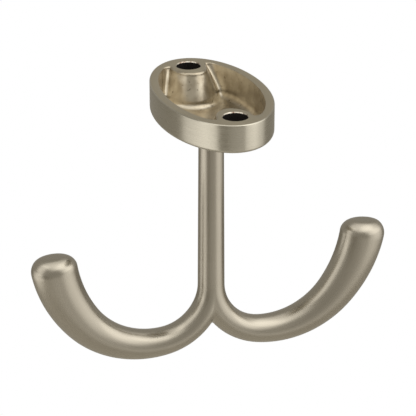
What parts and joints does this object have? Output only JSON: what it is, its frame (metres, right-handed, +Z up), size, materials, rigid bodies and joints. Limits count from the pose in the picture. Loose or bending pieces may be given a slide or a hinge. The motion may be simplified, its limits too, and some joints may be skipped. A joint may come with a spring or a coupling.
{
  "type": "double ceiling hook",
  "caption": "Oval screw-on base with a straight stem that parts into two upswept arms with thickened rounded tips, for hanging things from a ceiling or the underside of a shelf.",
  "frame": {"origin": "centre of the oval base in the plane of its rim, which lies against the ceiling", "axes": "+Z up, out of the ceiling face; X along the two arms; Y along the oval base, through both screw holes"},
  "size_m": [0.0764, 0.042, 0.0577],
  "materials": {
    "satin_nickel_on_zinc": "satin nickel plating, brushed, on a zinc die casting"
  },
  "bodies": {
    "root": {"ceiling_hook": "satin_nickel_on_zinc"}
  },
  "joints": []
}
